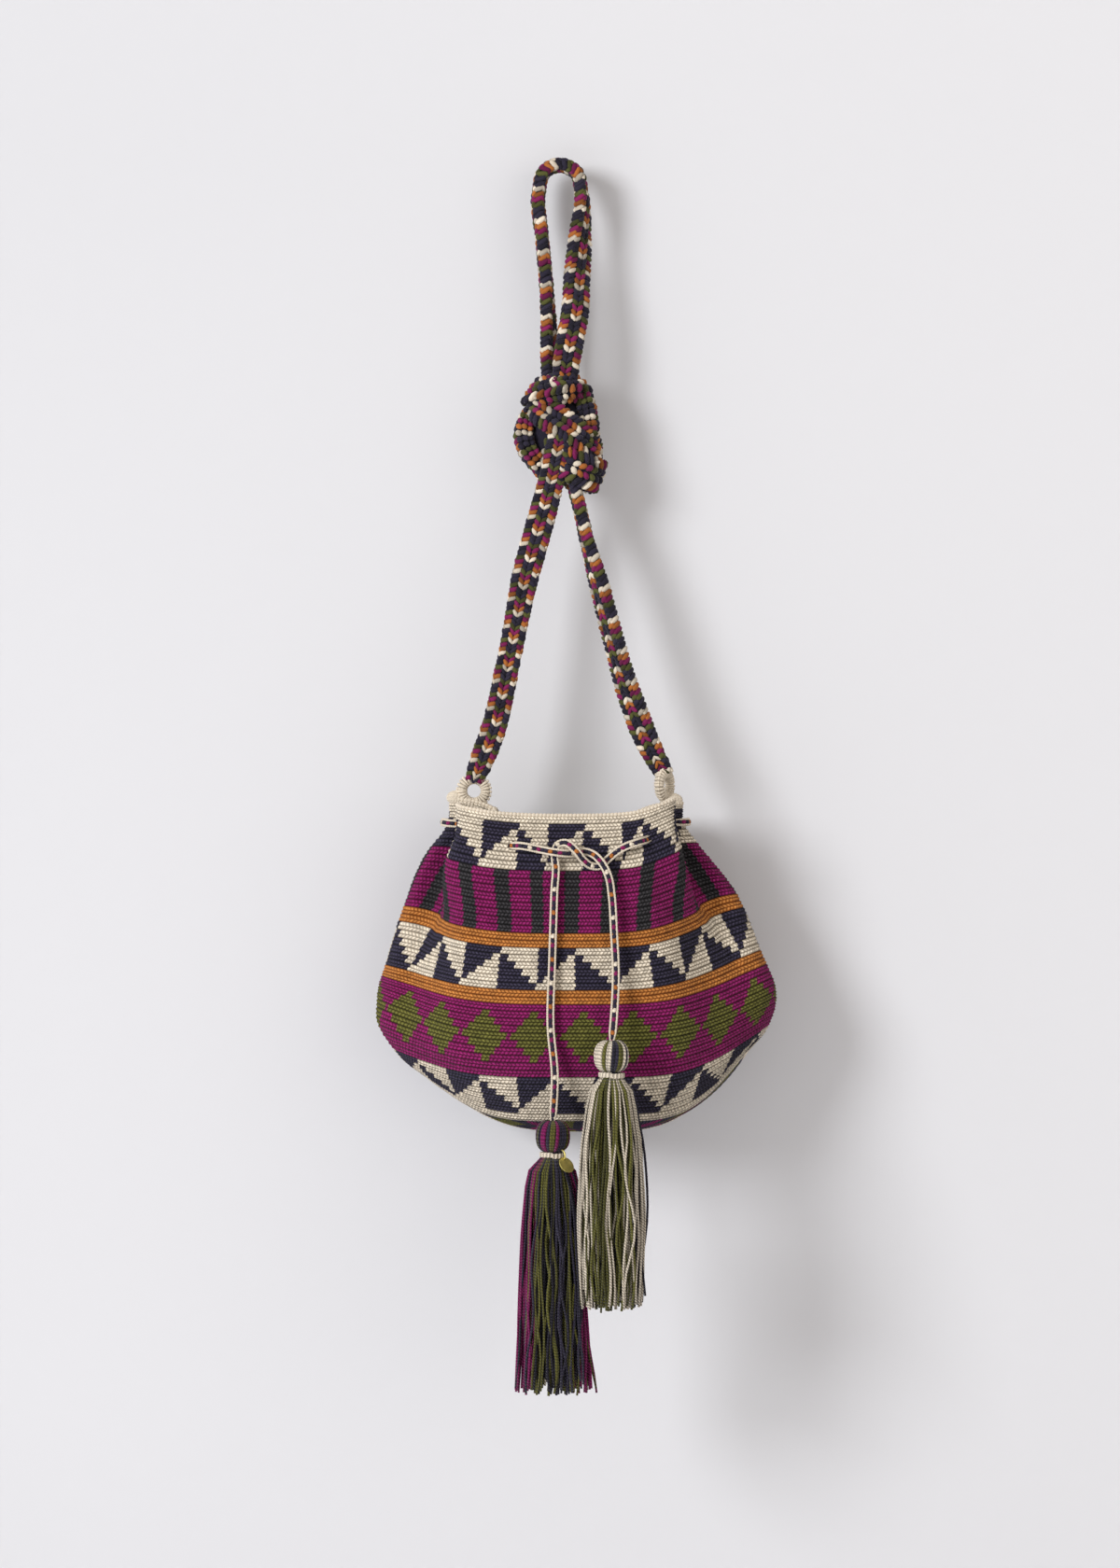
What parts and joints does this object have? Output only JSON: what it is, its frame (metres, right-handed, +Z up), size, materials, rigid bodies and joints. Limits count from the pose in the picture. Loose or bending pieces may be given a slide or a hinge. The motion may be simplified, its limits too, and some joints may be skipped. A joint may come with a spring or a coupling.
{
  "type": "mochila bag",
  "caption": "Crocheted bucket bag with a stepped and striped pattern, a knotted braided strap, a drawstring and yarn tassels, hung by its strap.",
  "frame": {"origin": "underside of the strap's crest, where it rests on its peg", "axes": "+Z up, the bag's front facing -Y"},
  "size_m": [0.2356, 0.1425, 0.7184],
  "materials": {
    "crochet_yarn": "matte",
    "strap_yarn": "matte",
    "cream_yarn": "matte",
    "tassel_yarn": "matte",
    "brass": "satin"
  },
  "bodies": {
    "bag": {"bag_body": "crochet_yarn", "strap": "strap_yarn", "strap_ring_left": "cream_yarn", "strap_ring_right": "cream_yarn", "drawstring": "strap_yarn"},
    "left_tassel": {"tassel_left_bundle": "tassel_yarn", "tassel_left_binding": "cream_yarn"},
    "right_tassel": {"tassel_right_bundle": "tassel_yarn", "tassel_right_binding": "cream_yarn"},
    "charm": {"charm_ring": "brass", "charm_disc": "brass"}
  },
  "joints": [
    {"name": "left_tassel_swing", "type": "hinge", "parent": "bag", "child": "left_tassel", "pos_m": [-0.0043, -0.058, -0.5563], "axis": [0, 1, 0], "range_deg": [0, 25]},
    {"name": "right_tassel_swing", "type": "hinge", "parent": "bag", "child": "right_tassel", "pos_m": [0.0294, -0.072, -0.5094], "axis": [0, 1, 0], "range_deg": [-25, 0]},
    {"name": "charm_swing", "type": "hinge", "parent": "left_tassel", "child": "charm", "pos_m": [0.00075, -0.06191, -0.5738], "axis": [0.7231, 0.6907, 0], "range_deg": [-60, 0]}
  ]
}
